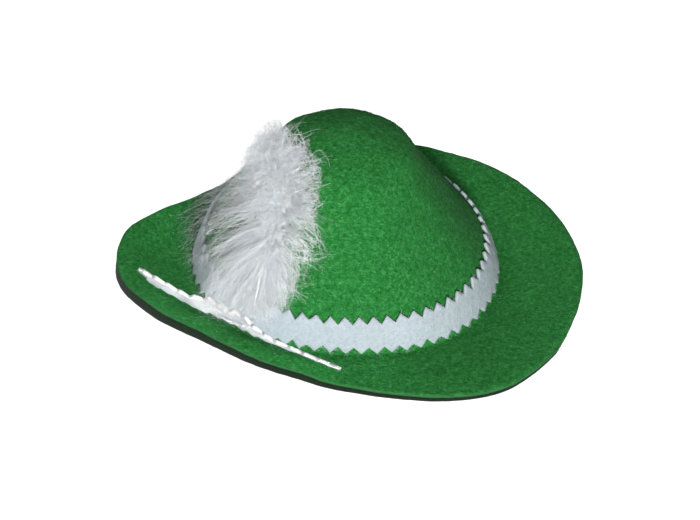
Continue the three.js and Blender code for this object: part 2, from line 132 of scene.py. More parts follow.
def crown_normal(u, a):
    e = 0.002
    du = crown_point(u + e, a) - crown_point(u - e, a)
    da = crown_point(u, a + e) - crown_point(u, a - e)
    return unit(np.cross(da, du))


def over_wall(share, a, off):
    u = index_at(share)
    return crown_point(u, a) + crown_normal(u, a) * np.asarray(off)[..., None]


def share_of(mm):
    return mm / (HAT_HEIGHT - FOOT)


def brim_edge(direction):
    n = len(BRIM)
    f = ((direction - BRIM[0, 0]) / (360 / n)) % n
    i = np.floor(f).astype(int) % n
    rows = np.vstack([BRIM[-1:], BRIM, BRIM[:2]])[:, 1:]
    wide_lift = hermite(rows, i, f - np.floor(f))
    c, s = np.cos(np.radians(direction)), np.sin(np.radians(direction))
    r = 1 / np.hypot(c / (CROWN_LENGTH / 2), s / (CROWN_WIDTH / 2)) + BRIM_WIDTH * wide_lift[..., 0]
    return np.stack([r * c, r * s, BRIM_LIFT * wide_lift[..., 1]], -1)


def brim_point(v, a):
    foot = crown_point(np.zeros_like(a), a)
    edge = brim_edge(np.degrees(np.arctan2(foot[..., 1], foot[..., 0])))
    p = foot + (edge - foot) * v[..., None]
    p[..., 2] = foot[..., 2] + (edge[..., 2] - foot[..., 2]) * smooth(v)
    return p


def waves(p, size, seed, count=24):
    """Smooth random lumps about -1 to 1, of a stated size in millimetres."""
    r = np.random.default_rng(seed)
    w = unit(r.normal(size=(count, 3))) * (2 * math.pi / size) * r.uniform(0.6, 1.5, (count, 1))
    phase = r.uniform(0, 2 * math.pi, count)
    return np.sin(p @ w.T + phase).sum(-1) / math.sqrt(count / 2) * 0.6


# Meshes and materials
def make(name, verts, faces, material, tone=None, flat=False):
    """A mesh piece from millimetre points and equal-sided faces."""
    verts = np.asarray(verts, float) - ORIGIN
    faces = np.asarray(faces, np.int32)
    me = bpy.data.meshes.new(name)
    me.vertices.add(len(verts))
    me.vertices.foreach_set("co", (verts * MM).astype(np.float32).ravel())
    me.loops.add(faces.size)
    me.loops.foreach_set("vertex_index", faces.ravel())
    me.polygons.add(len(faces))
    me.polygons.foreach_set("loop_start", np.arange(0, faces.size, faces.shape[1], dtype=np.int32))
    me.update(calc_edges=True)
    me.polygons.foreach_set("use_smooth", np.full(len(faces), not flat))
    if tone is not None:
        me.attributes.new("tone", "FLOAT", "POINT").data.foreach_set("value", np.asarray(tone, np.float32))
    me.materials.append(material)
    ob = bpy.data.objects.new(name, me)
    bpy.context.scene.collection.objects.link(ob)
    return ob


class Nodes:
    def __init__(self, name, **sockets):
        self.mat = bpy.data.materials.new(name)
        self.mat.use_nodes = True
        self.t = self.mat.node_tree
        self.bsdf = self.t.nodes["Principled BSDF"]
        for key, value in sockets.items():
            self.bsdf.inputs[key.replace("_", " ")].default_value = value

    def add(self, kind, inputs=None, **props):
        n = self.t.nodes.new(kind)
        for k, v in props.items():
            setattr(n, k, v)
        for k, v in (inputs or {}).items():
            if isinstance(v, bpy.types.NodeSocket):
                self.t.links.new(v, n.inputs[k])
            else:
                n.inputs[k].default_value = v
        return n

    def coords(self, stretch=(1, 1, 1), turn=(0, 0, 0)):
        tc = self.add("ShaderNodeTexCoord").outputs["Object"]
        return self.add("ShaderNodeMapping", {"Vector": tc, "Scale": stretch, "Rotation": turn}).outputs[0]

    def noise(self, size_mm, vector=None, detail=3.0, rough=0.6, distortion=0.0):
        vector = vector or self.coords()
        return self.add("ShaderNodeTexNoise", {
            "Vector": vector, "Scale": 1000 / size_mm, "Detail": detail, "Roughness": rough, "Distortion": distortion,
        }).outputs["Fac"]

    def ramp(self, fac, stops):
        n = self.add("ShaderNodeValToRGB", {"Fac": fac})
        e = n.color_ramp.elements
        while len(e) < len(stops):
            e.new(0.5)
        for el, (pos, colour) in zip(e, stops):
            el.position = pos
            el.color = (*colour, 1)
        return n.outputs["Color"]

    def grey(self, fac, lo, hi, a=0.0, b=1.0):
        return self.add("ShaderNodeMapRange", {"Value": fac, "From Min": lo, "From Max": hi, "To Min": a, "To Max": b}).outputs[0]

    def math(self, op, a, b):
        return self.add("ShaderNodeMath", {0: a, 1: b}, operation=op).outputs[0]

    def mix(self, fac, a, b, blend="MIX"):
        n = self.add("ShaderNodeMix", data_type="RGBA", blend_type=blend)
        for sock, v in ((n.inputs[0], fac), (n.inputs[6], a), (n.inputs[7], b)):
            if isinstance(v, bpy.types.NodeSocket):
                self.t.links.new(v, sock)
            else:
                sock.default_value = (*v, 1) if isinstance(v, tuple) else v
        return n.outputs[2]

    def bump(self, height, distance_mm, strength=1.0):
        n = self.add("ShaderNodeBump", {"Height": height, "Distance": distance_mm * MM, "Strength": strength})
        self.t.links.new(n.outputs[0], self.bsdf.inputs["Normal"])

    def colour(self, socket):
        self.t.links.new(socket, self.bsdf.inputs["Base Color"])
        return self.mat

    def attribute(self, name):
        return self.add("ShaderNodeAttribute", attribute_name=name).outputs["Fac"]


def streaks(n, size, long=0.22, detail=2.0):
    """Fibre streaks lying three ways, the brightest of them winning."""
    out = None
    for turn in ((0.3, 0.2, 0.4), (1.3, 0.5, 1.5), (0.7, 1.2, 2.6)):
        s = n.noise(size, n.coords((long, 1, 1), turn), detail, 0.5, 0.6)
        out = s if out is None else n.math("MAXIMUM", out, s)
    return out


def felt(name, stops, edge_highlight_colour, grain):
    """Matt needle felt: clumps, streaks of fibre and a lighter cut edge where tone is 1; that lighter cut edge is
    painted highlight, where the edge catches the light.
    """
    n = Nodes(name, Roughness=0.95, Sheen_Weight=0.04, Sheen_Roughness=0.5, Specular_IOR_Level=0.08)
    clump = n.noise(grain * 1.5, detail=3.0, rough=0.7)
    fibre = streaks(n, grain * 0.5)
    fine = n.noise(grain * 0.5, detail=2.0)
    fac = n.math("ADD", n.math("MULTIPLY", clump, 0.4), n.math("MULTIPLY", fibre, 0.35))
    fac = n.math("ADD", fac, n.math("MULTIPLY", fine, 0.25))
    base = n.ramp(fac, stops)
    soft = n.noise(14, detail=2.0)
    shade = n.mix(1.0, base, (0.84, 0.87, 0.85), "MULTIPLY")
    base = n.mix(n.grey(soft, 0.3, 0.7, 0.0, 0.5), base, shade)
    # Painted highlight: the cut edge is mixed towards the edge colour where tone is high.
    base = n.mix(n.attribute("tone"), base, edge_highlight_colour)
    n.bump(fac, grain * 0.7, 0.9)
    return n.colour(base)


def fibre_material(name, dark, light, gloss=0.15):
    n = Nodes(name, Roughness=0.85, Sheen_Weight=0.0, Specular_IOR_Level=gloss)
    return n.colour(n.mix(n.attribute("tone"), dark, light))


# Each felt's last colour is mixed into its cut edges, a painted highlight where the edge catches the light.
GREEN = felt("green_felt", [
    (0.38, (0.006, 0.085, 0.013)), (0.47, (0.018, 0.19, 0.032)), (0.55, (0.036, 0.28, 0.058)), (0.65, (0.095, 0.45, 0.13)),
], (0.05, 0.2, 0.07), 1.0)
PALE = felt("pale_felt", [
    (0.36, (0.43, 0.52, 0.57)), (0.48, (0.56, 0.65, 0.7)), (0.58, (0.65, 0.73, 0.79)), (0.7, (0.75, 0.81, 0.86)),
], (0.66, 0.76, 0.79), 0.9)
PALE_STRIP = felt("pale_felt_strip", [
    (0.36, (0.62, 0.59, 0.62)), (0.48, (0.74, 0.71, 0.74)), (0.58, (0.82, 0.79, 0.82)), (0.7, (0.89, 0.87, 0.89)),
], (0.74, 0.71, 0.73), 0.9)
GREEN_FIBRE = fibre_material("green_fibre", (0.012, 0.14, 0.024), (0.075, 0.42, 0.11), 0.05)
PALE_FIBRE = fibre_material("pale_fibre", (0.55, 0.65, 0.69), (0.8, 0.88, 0.91), 0.05)
# The down's grey-blue dark end is painted shade for the shade inside the plume; the white light end is the down's own
# colour.
DOWN = fibre_material("down", (0.48, 0.53, 0.55), (0.94, 0.96, 0.97), 0.1)


def put(ob, slot, *nodes):
    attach(ob, "root")
    if nodes:
        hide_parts(*nodes)
    return ob


# Soft roll along the near brim: direction and spread in degrees, rise in millimetres
LIP_DIRECTION, LIP_SPREAD, LIP_RISE = -108, 50, 0.8


# Felt body
def felt_body():
    cols, crown_rows, brim_rows = 300, 54, 26
    a = np.arange(cols) * 2 * math.pi / cols
    foot = crown_point(np.zeros(cols), a)
    u_wall = index_at(CREASE / (HAT_HEIGHT - FOOT))
    rows = [crown_point(np.full(cols, LAST + (u_wall - LAST) * i / crown_rows), a) for i in range(1, crown_rows + 1)]
    edge = brim_point(np.ones(cols), a)
    v_start = CREASE / np.hypot(edge[:, 0] - foot[:, 0], edge[:, 1] - foot[:, 1])
    wall, start = rows[-1], brim_point(v_start, a)
    for t in (0.2, 0.4, 0.6, 0.8, 1.0):
        rows.append(wall * (1 - t) ** 2 + foot * 2 * t * (1 - t) + start * t * t)
    rows += [brim_point(v_start + (1 - v_start) * (i / brim_rows) ** 1.4, a) for i in range(1, brim_rows + 1)]
    grid = np.array(rows)
    m = len(grid)
    top = crown_point(np.array(float(LAST)), np.array(0.0))
    before = np.concatenate([np.broadcast_to(top, (1, cols, 3)), grid[:-1]])
    after = np.concatenate([grid[1:], grid[-1:]])
    normal = unit(np.cross(after - before, np.roll(grid, -1, 1) - np.roll(grid, 1, 1)))
    lump = 0.22 * waves(grid, 16, 3) + 0.1 * waves(grid, 5, 4) + 0.05 * waves(grid, 2.2, 5)
    level = np.clip((grid[..., 2] - 2.2) / 3, 0, 1)
    near_edge = np.clip((np.arange(m) - (m - 12)) / 11, 0, 1)[:, None]
    wobble = near_edge * (0.3 * waves(grid, 26, 6) + 0.08 * waves(grid, 6, 7))
    outward = unit(grid * (1, 1, 0))
    outer = grid + normal * (lump * level)[..., None] + outward * wobble[..., None]
    across = np.clip((np.arange(m) - (m - 1 - brim_rows)) / brim_rows, 0, 1)[:, None] ** 1.4
    turn = np.degrees(np.arctan2(grid[..., 1], grid[..., 0]))
    side = smooth(np.clip(1 - np.abs(turn - LIP_DIRECTION) / LIP_SPREAD, 0, 1))
    outer[..., 2] += LIP_RISE * side * np.sin(math.pi * across) ** 1.5
    inner = outer - normal * FELT
    inner[..., 2] = np.maximum(inner[..., 2], 0)
    rim = [outer[-1] * (1 - t) + inner[-1] * t + outward[-1] * 0.3 * math.sin(math.pi * t) for t in (0.25, 0.5, 0.75)]
    shell = np.concatenate([outer, np.array(rim), inner[::-1]])
    n = len(shell)
    verts = np.concatenate([shell.reshape(-1, 3), [top, top - (0, 0, FELT)]])
    i, j = np.meshgrid(np.arange(n - 1), np.arange(cols), indexing="ij")
    k = (j + 1) % cols
    quads = np.stack([i * cols + j, (i + 1) * cols + j, (i + 1) * cols + k, i * cols + k], -1).reshape(-1, 4)
    tris = np.concatenate([quads[:, (0, 1, 2)], quads[:, (0, 2, 3)]])
    j = np.arange(cols)
    k = (j + 1) % cols
    base = n * cols
    caps = np.concatenate([
        np.stack([np.full(cols, base), j, k], -1),
        np.stack([np.full(cols, base + 1), (n - 1) * cols + k, (n - 1) * cols + j], -1),
    ])
    tone = np.zeros(len(verts))
    # The brim's cut edge rows are mixed towards the felt's edge colour: painted highlight where the edge catches the
    # light.
    tone[: n * cols].reshape(n, cols)[m - 1 : m + 4] = np.array([0.25, 0.7, 0.8, 0.7, 0.25])[:, None]
    ob = put(make("felt_hat_body", verts, np.concatenate([tris, caps]), GREEN, tone), "green_felt", "felt_body")
    return ob, outer, inner, normal


# Fibres
def scatter(grid, count, closed=True):
    """Random points, normals and tangents over a grid of points, even by area."""
    g = np.concatenate([grid, grid[:, :1]], 1) if closed else grid
    p, du, dv = g[:-1, :-1], g[1:, :-1] - g[:-1, :-1], g[:-1, 1:] - g[:-1, :-1]
    area = np.linalg.norm(np.cross(du, dv), axis=-1).ravel()
    pick = rng.choice(len(area), count, p=area / area.sum())
    s, t = rng.random((2, count, 1))
    du, dv = du.reshape(-1, 3)[pick], dv.reshape(-1, 3)[pick]
    return p.reshape(-1, 3)[pick] + du * s + dv * t, unit(np.cross(du, dv)), unit(du)


def fibres(root, normal, along, length, width, lift, roll=0.9):
    """Short curved ribbons of three triangles that lie on a surface in random directions."""
    n = len(root)
    turn = rng.uniform(0, 2 * math.pi, (n, 1))
    side = np.cross(normal, along)
    go = along * np.cos(turn) + side * np.sin(turn)
    flat = np.cross(normal, go)
    tilt = rng.uniform(-roll, roll, (n, 1))
    wide = flat * np.cos(tilt) + normal * np.sin(tilt)
    bend = flat * rng.normal(0, 0.25, (n, 1)) * length
    mid = root + go * length * 0.5 + normal * lift + bend
    tip = root + go * length + normal * lift * rng.uniform(-0.2, 1.4, (n, 1))
    w = wide * width / 2
    start = root - normal * 0.06
    verts = np.stack([start - w, start + w, mid - w, mid + w, tip], 1).reshape(-1, 3)
    verts[:, 2] = np.maximum(verts[:, 2], 0.02)
    b = np.arange(n)[:, None] * 5
    faces = (b[:, None] + np.array([(0, 1, 3), (0, 3, 2), (2, 3, 4)])[None]).reshape(-1, 3)
    return verts, faces


def fuzz(name, grid, count, material, slot, length, width, lift, closed=True, light=0.5):
    root, normal, along = scatter(grid, count, closed)
    out = fibres(root, normal, along, rng.uniform(*length, (count, 1)), rng.uniform(*width, (count, 1)),
                 rng.uniform(*lift, (count, 1)))
    tone = np.repeat(np.clip(rng.beta(1.6, 2.2, count) * 2 * light, 0, 1), 5)
    return put(make(name, *out, material, tone), slot)


# Band and strip
BAND_SEAT = GAP + FACET


def slab_faces(n, m, closed):
    """Quads of a slab whose columns run round all four sides: outer face, top, inner face, bottom."""
    i, j = np.meshgrid(np.arange(n if closed else n - 1), np.arange(m), indexing="ij")
    k, l = (i + 1) % n, (j + 1) % m
    return np.stack([i * m + j, k * m + j, k * m + l, i * m + l], -1).reshape(-1, 4)


def ring_of(outer, inner, puff=0.12):
    """Columns of a slab with slightly rounded cut edges, from its outer and inner grids."""
    hi = (outer[:, -1:] + inner[:, -1:]) / 2
    lo = (outer[:, :1] + inner[:, :1]) / 2
    hi = hi + unit(outer[:, -1:] - outer[:, -2:-1]) * puff
    lo = lo + unit(outer[:, :1] - outer[:, 1:2]) * puff
    return np.concatenate([outer, hi, inner[:, ::-1], lo], 1)


def to_tris(quads):
    return np.concatenate([quads[:, (0, 1, 2)], quads[:, (0, 2, 3)]])


def hat_band():
    fine = 1440
    ring = crown_point(np.zeros(fine + 1), 2 * math.pi * np.arange(fine + 1) / fine)
    run = np.concatenate([[0], np.cumsum(np.linalg.norm(np.diff(ring, axis=0), axis=1))])
    teeth = round(run[-1] / TOOTH_PITCH)
    slope = crown_normal(np.array(0.5), np.array(-math.pi / 2))[2]
    rise = TRIM_WIDTH * math.sqrt(1 - slope * slope)
    sub = 4
    n = 2 * teeth * sub
    s = np.arange(n) / sub
    a = np.interp(s / (2 * teeth) * run[-1], run, 2 * math.pi * np.arange(fine + 1) / fine)
    jag = 1 + 0.13 * np.interp(s, np.arange(2 * teeth + 1), rng.normal(0, 1, 2 * teeth + 1))
    cut = TOOTH_DEPTH * (1 - np.abs((s % 2) - 1)) * jag
    low, high = BAND_FOOT + cut, BAND_FOOT + rise - cut
    rows = np.linspace(0, 1, 10)
    h = share_of(low[:, None] + (high - low)[:, None] * rows)
    aa = np.broadcast_to(a[:, None], h.shape)
    base = over_wall(h, aa, 0 * h)
    off = 0.1 * waves(base, 9, 21) + 0.05 * waves(base, 3, 22)
    inner = over_wall(h, aa, BAND_SEAT + 0 * h)
    outer = over_wall(h, aa, BAND_SEAT + TRIM_FELT + off)
    shell = ring_of(outer, inner)
    m = shell.shape[1]
    tone = np.zeros((n, m))
    # Cut edges are half mixed towards the edge colour that felt() paints as highlight.
    tone[:, [9, 10, 11, 20, 21, 0]] = 0.5
    ob = make("pinked_hat_band", shell.reshape(-1, 3), to_tris(slab_faces(n, m, True)), PALE, tone.ravel())
    put(ob, "pale_felt", "hat_band")
    return ob, outer


STRIP_ANGLE = math.radians(STRIP_DIRECTION)
STRIP_OUT = crown_normal(index_at(share_of(STRIP_FOOT + TRIM_WIDTH / 2)), np.array(STRIP_ANGLE))
STRIP_RUN = unit(np.cross((0, 0, 1), STRIP_OUT))
STRIP_UP = unit(np.cross(STRIP_OUT, STRIP_RUN))
STRIP_LEVEL = unit(np.cross(STRIP_RUN, (0, 0, 1)))
STRIP_LIFT = 0.054
STRIP_START = over_wall(np.array(share_of(STRIP_FOOT)), np.array(STRIP_ANGLE),
                        np.array(BAND_SEAT + TRIM_FELT + GAP + FACET))


def strip_row(s):
    run = np.asarray(s) / STRIP_LENGTH
    i = np.clip(np.searchsorted(STRIP[:, 0], run) - 1, 0, len(STRIP) - 2)
    t = np.clip((run - STRIP[i, 0]) / (STRIP[i + 1, 0] - STRIP[i, 0]), 0, 1)
    return STRIP[i] + (STRIP[i + 1] - STRIP[i]) * smooth(t)[..., None]


def strip_point(s, w, t):
    """s along the strip, w up from its lower edge, t out of its inner face; arrays of one shape."""
    row = strip_row(s)
    inset, lift, lean = row[..., 1:2], row[..., 2:3], np.radians(row[..., 3:4])
    up = STRIP_UP * np.cos(lean) + np.cross(STRIP_RUN, STRIP_UP) * np.sin(lean)
    out = STRIP_OUT * np.cos(lean) + np.cross(STRIP_RUN, STRIP_OUT) * np.sin(lean)
    p = STRIP_START + STRIP_RUN * np.asarray(s)[..., None] - STRIP_LEVEL * inset * TRIM_WIDTH
    p = p + np.array([0, 0, 1.0]) * (STRIP_LIFT + lift * TRIM_WIDTH)
    return p + up * np.asarray(w)[..., None] + out * np.asarray(t)[..., None]


def band_strip():
    teeth = round(STRIP_LENGTH / TOOTH_PITCH)
    sub = 5
    n = 2 * teeth * sub + 1
    q = np.arange(n) / sub
    left = -STRIP_LENGTH / 2 + STRIP_SHIFT
    s = left + STRIP_LENGTH * q / (2 * teeth)
    cut = TOOTH_DEPTH * np.abs((q % 2) - 1)
    end = np.clip(np.minimum(q, 2 * teeth - q), 0, 1)
    cut = cut * end + TOOTH_DEPTH / 2 * (1 - end)
    low, high = cut, TRIM_WIDTH - cut
    rows = np.linspace(0, 1, 11)
    w = low[:, None] + (high - low)[:, None] * rows
    notch = 0.45 * TOOTH_PITCH * np.clip(1 - q, 0, 1)[:, None] * np.clip(1 - np.abs(rows - 0.5) / 0.17, 0, 1)
    ss = s[:, None] + notch
    off = 0.08 * waves(strip_point(ss, w, 0 * w), 6, 31)
    inner = strip_point(ss, w, 0 * w)
    outer = strip_point(ss, w, TRIM_FELT + off)
    shell = ring_of(outer, inner)
    m = shell.shape[1]
    quads = slab_faces(n, m, False)
    r = len(rows)
    ends = []
    for c, flip in ((0, False), (n - 1, True)):
        ids = [(c * m + j, c * m + j + 1, c * m + 2 * r - 1 - j, c * m + 2 * r - j) for j in range(r - 1)]
        ends += [f[::-1] if flip else f for f in ids]
    ends = np.array(ends)
    tone = np.zeros((n, m))
    # Cut edges are half mixed towards the edge colour that felt() paints as highlight.
    tone[:, [r - 1, r, r + 1, 2 * r, 2 * r + 1, 0]] = 0.5
    tris = to_tris(np.concatenate([quads, ends]))
    lids = []
    for c, flip in ((0, False), (n - 1, True)):
        for f in ((c * m + r - 1, c * m + r, c * m + r + 1), (c * m + 2 * r + 1, c * m, c * m + 2 * r)):
            lids.append(f[::-1] if flip else f)
    tris = np.concatenate([tris, lids])
    ob = put(make("pinked_cross_strip", shell.reshape(-1, 3), tris, PALE_STRIP, tone.ravel()), "pale_felt_strip", "band_strip")
    return ob, outer


# Tubes: staple and quill
def tube(points, radii, sides=10):
    """A closed tube along points, with round capped ends."""
    p = np.asarray(points, float)
    r = np.broadcast_to(np.asarray(radii, float), (len(p),))
    tangent = unit(np.gradient(p, axis=0))
    side = unit(np.cross(tangent[0], (0.31, 0.22, 0.92)))
    rings = []
    for q, t, rad in zip(p, tangent, r):
        side = unit(side - t * np.dot(side, t))
        up = np.cross(t, side)
        a = np.arange(sides)[:, None] * 2 * math.pi / sides
        rings.append(q + rad * (np.cos(a) * side + np.sin(a) * up))
    n = len(rings)
    verts = np.concatenate([np.concatenate(rings), [p[0] - tangent[0] * r[0] * 0.5, p[-1] + tangent[-1] * r[-1] * 0.5]])
    i, j = np.meshgrid(np.arange(n - 1), np.arange(sides), indexing="ij")
    k = (j + 1) % sides
    quads = np.stack([i * sides + j, i * sides + k, (i + 1) * sides + k, (i + 1) * sides + j], -1).reshape(-1, 4)
    j = np.arange(sides)
    k = (j + 1) % sides
    e = (n - 1) * sides
    caps = np.concatenate([np.stack([j * 0 + n * sides, k, j], -1), np.stack([j * 0 + n * sides + 1, e + j, e + k], -1)])
    return verts, np.concatenate([to_tris(quads), caps])


def bezier(a, b, c, n):
    t = np.linspace(0, 1, n)[:, None]
    return a * (1 - t) ** 2 + b * 2 * t * (1 - t) + c * t * t


def staple():
    seat = strip_point(np.array(STAPLE_SHIFT), np.array(STAPLE_INSET), np.array(TRIM_FELT))
    turn = math.radians(STAPLE_TILT)
    lean = math.radians(strip_row(STAPLE_SHIFT)[3])
    out = STRIP_OUT * math.cos(lean) + np.cross(STRIP_RUN, STRIP_OUT) * math.sin(lean)
    run = STRIP_RUN * math.cos(turn) + np.cross(out, STRIP_RUN) * math.sin(turn)
    ends = [seat + run * side * (STAPLE_SPAN - WIRE) / 2 + out * STAPLE_PROUD for side in (-1, 1)]

    def depth(p):
        d = 0.0
        for _ in range(60):
            q = p - STRIP_OUT * d
            a = math.atan2(q[1] / CROWN_WIDTH, q[0] / CROWN_LENGTH)
            rise = SIDE_RISE * abs(math.sin(a)) ** 3
            u = index_at((q[2] - FOOT - rise) / (HAT_HEIGHT - FOOT))
            d += (np.dot(q - crown_point(u, np.array(a)), crown_normal(u, np.array(a))) + FELT) * 0.7
        return d

    wall = [p - STRIP_OUT * (depth(p) + GAP + FACET + WIRE / 2) for p in ends]
    fold = [wall[i] + unit(wall[1 - i] - wall[i]) * CLINCH - STRIP_OUT * CLINCH_DIP for i in (0, 1)]
    corners = [fold[0], wall[0], ends[0], ends[1], wall[1], fold[1]]
    path, here = [], corners[0]
    for i in range(1, 5):
        a = corners[i] + unit(corners[i - 1] - corners[i]) * STAPLE_BEND
        b = corners[i] + unit(corners[i + 1] - corners[i]) * STAPLE_BEND
        path += [here * (1 - t) + a * t for t in np.linspace(0, 1, 12)[:-1]]
        path += list(bezier(a, corners[i], b, 7)[:-1])
        here = b
    path += [here * (1 - t) + corners[5] * t for t in np.linspace(0, 1, 8)]
    path = np.array(path)
    n = Nodes("staple_steel", Metallic=0.4, Roughness=0.3)
    wear = n.noise(0.8, detail=2.0)
    n.t.links.new(n.grey(wear, 0.3, 0.7, 0.2, 0.42), n.bsdf.inputs["Roughness"])
    steel = n.colour(n.ramp(wear, [(0.3, (0.78, 0.81, 0.84)), (0.7, (0.9, 0.92, 0.94))]))
    put(make("wire_staple", *tube(path, WIRE / 2, 12), steel), "staple_steel", "staple")


# Feather
# Shaft from quill to tip: height share, direction, standoff
SHAFT = [
    (0.231, -119.4, 7.6), (0.306, -119.6, 7.3), (0.383, -120.3, 6.8), (0.44, -121.5, 5.6), (0.525, -123.5, 3.8),
    (0.653, -123.1, 3.5), (0.771, -125.5, 3.5), (0.851, -133.6, 3.5), (0.867, -149.3, 3.5), (0.868, -161.3, 4),
    (0.884, -164.4, 4.6), (0.901, -167.5, 4.8), (0.924, -170.6, 4.8),
]
# Guide barbs round the shaft: root, middle and end, each as height share, direction, standoff
GUIDES = np.array([
    (0.92, -171, 4, 0.92, -176, 6, 0.92, -190, 6), (0.91, -168, 4, 0.89, -179, 6, 0.86, -198, 6),
    (0.90, -167, 4, 0.88, -177, 7, 0.84, -191, 7), (0.89, -164, 4, 0.88, -168, 7, 0.84, -180, 7),
    (0.88, -163, 4, 0.86, -165, 7, 0.77, -182, 7), (0.87, -160, 4, 0.86, -159, 7, 0.74, -176, 6),
    (0.86, -159, 4, 0.84, -154, 7, 0.75, -167, 5), (0.86, -156, 3.5, 0.83, -151, 7, 0.73, -160, 5),
    (0.86, -148, 3.5, 0.80, -150, 8, 0.66, -166, 5.5), (0.86, -142, 3.5, 0.76, -149, 8, 0.57, -170, 5.5),
    (0.85, -136, 3.5, 0.73, -149, 8, 0.39, -186, 5.5), (0.84, -132, 3.5, 0.70, -148, 8, 0.36, -184, 5.5),
    (0.82, -129, 3.5, 0.67, -146, 8, 0.25, -186, 5.5), (0.79, -127, 3.5, 0.64, -146, 8, 0.20, -183, 6),
    (0.76, -125, 3.5, 0.60, -144, 8, 0.18, -180, 7.5), (0.74, -123, 3.5, 0.57, -143, 8, 0.15, -177, 7),
    (0.72, -123, 3.5, 0.54, -142, 8, 0.15, -173, 6.5), (0.70, -122, 3.5, 0.52, -140, 8, 0.26, -160, 7),
    (0.68, -122, 3.5, 0.50, -137, 8, 0.27, -154, 7.5), (0.66, -122, 3.5, 0.48, -135, 8, 0.26, -149, 8),
    (0.64, -122, 3.5, 0.45, -133, 8, 0.24, -146, 8), (0.61, -122, 3.5, 0.42, -131, 8, 0.21, -144, 8),
    (0.59, -123, 3.5, 0.40, -129, 9, 0.21, -140, 10), (0.57, -123, 3.5, 0.37, -129, 9.5, 0.20, -137, 12),
    (0.55, -123, 3.5, 0.34, -127, 10, 0.19, -134, 12.5), (0.53, -123, 3.5, 0.31, -126, 10, 0.19, -131, 13),
    (0.52, -123, 3.5, 0.29, -125, 9, 0.20, -127, 13), (0.50, -123, 3.5, 0.27, -123.5, 7, 0.19, -123, 12.5),
    (0.49, -123, 3.5, 0.25, -123, 4.5, 0.19, -120, 11.5), (0.47, -123, 3.5, 0.26, -120, 4.5, 0.18, -117, 10),
    (0.47, -123, 3.5, 0.26, -117, 4.5, 0.16, -114, 8), (0.48, -122, 3.5, 0.29, -115, 5, 0.19, -112, 6),
    (0.49, -122, 3.5, 0.34, -113, 5.5, 0.23, -109, 4.5), (0.51, -123, 3.5, 0.38, -112, 5.5, 0.28, -108, 4),
    (0.54, -123, 3.5, 0.44, -112, 6, 0.31, -106, 3.5), (0.56, -122, 3.5, 0.48, -110, 7, 0.37, -104, 4),
    (0.58, -122, 3.5, 0.53, -110, 7, 0.44, -101, 4), (0.61, -121, 3.5, 0.56, -108, 7, 0.49, -101, 4),
    (0.63, -121, 3.5, 0.59, -107, 7, 0.54, -97, 4), (0.66, -121, 3.5, 0.63, -106, 7, 0.59, -98, 4),
    (0.68, -122, 3.5, 0.67, -107, 8, 0.65, -99, 5), (0.70, -122, 3.5, 0.71, -108, 8, 0.69, -100, 5),
    (0.73, -123, 3.5, 0.76, -109, 8, 0.74, -103, 5), (0.75, -124, 3.5, 0.81, -110, 8, 0.81, -105, 5),
    (0.77, -125, 3.5, 0.85, -112, 8, 0.86, -106, 5), (0.80, -127, 3.5, 0.87, -114, 8, 0.88, -106, 5),
    (0.82, -128, 3.5, 0.88, -116, 8, 0.90, -109, 5), (0.84, -131, 3.5, 0.90, -121, 8, 0.93, -117, 5),
    (0.85, -134, 3.5, 0.91, -127, 8, 0.93, -126, 5), (0.86, -138, 3.5, 0.91, -134, 8, 0.93, -139, 5),
    (0.87, -143, 3.5, 0.92, -140, 8, 0.93, -150, 5), (0.87, -146, 3.5, 0.91, -146, 7, 0.92, -156, 5),
    (0.87, -150, 3.5, 0.90, -150, 6, 0.91, -157, 5),
])
# Loose filaments beyond the fluff
STRAYS = np.array([
    (0.92, -173, 4, 0.95, -173, 5, 0.97, -197, 6), (0.92, -170, 4, 0.95, -163, 4, 0.98, -155, 3),
    (0.92, -120, 6, 0.95, -111, 5, 0.91, -98, 4), (0.85, -110, 6, 0.86, -103, 5, 0.88, -96, 5),
    (0.4, -108, 4, 0.43, -104, 4, 0.43, -100, 4), (0.05, -133, 4.6, 0.04, -135, 6, 0.02, -137, 7),
])
# Down by piece: first and last guide, clumps, barbs in each, barbule length, darkest and lightest tone,
# wander of the clumps along the guides, reach as a share of the guide
# The tones are partly random and partly painted light: the tip's light tones are painted highlight, and the darker
# tones of the mass are painted shade.
TUFTS = [
    # The tip's tones of 0.85 to 1.0 are painted highlight.
    ("feather_tip", 0, 7, 64, 9, 0.6, 0.85, 1.0, 0.8, 0.95),
    ("feather_left_top", 6.5, 13, 46, 9, 1.1, 0.2, 0.65, 0.8, 0.95),
    ("feather_left", 12, 22, 54, 9, 1.1, 0.2, 0.65, 1.0, 0.9),
    ("feather_wisps", 8, 21, 34, 8, 0.9, 0.4, 0.8, 0.5, 1.0),
    ("feather_base", 20, 32.5, 215, 7, 1.1, 0.3, 0.75, 1.8, 0.88),
    ("feather_right_low", 32, 43, 75, 7, 1.1, 0.25, 0.7, 1.2, 0.82),
    ("feather_right", 41, 52, 85, 7, 1.1, 0.3, 0.75, 1.2, 0.82),
]
# Spread of root, middle and end in millimetres: of the clumps, and of the barbs in a clump
COVER_SHIFT = 0.5
CLUMP_SPREAD = (1.0, 2.4, 2.4)
BARB_SPREAD = (0.6, 0.8, 0.7)


def wall_points(rows):
    rows = np.asarray(rows, float)
    return over_wall(rows[..., 0], np.radians(rows[..., 1]), rows[..., 2])


def guide_curves(first, last, clumps, count, wander):
    """Root, middle and end of barbs that lie in clumps along the guides from first to last."""
    g = wall_points(GUIDES.reshape(-1, 3, 3))
    place = rng.uniform(first, last, clumps)
    out = []
    for c, part in ((0, 0.3), (1, 0.7), (2, 1.0)):
        f = np.clip(place + rng.normal(0, wander * part, clumps), 0, len(g) - 1.001)
        i = f.astype(int)
        t = (f - i)[:, None]
        p = g[i, c] * (1 - t) + g[i + 1, c] * t + rng.normal(0, CLUMP_SPREAD[c], (clumps, 3))
        out.append(np.repeat(p, count, axis=0) + rng.normal(0, BARB_SPREAD[c], (clumps * count, 3)))
    return out


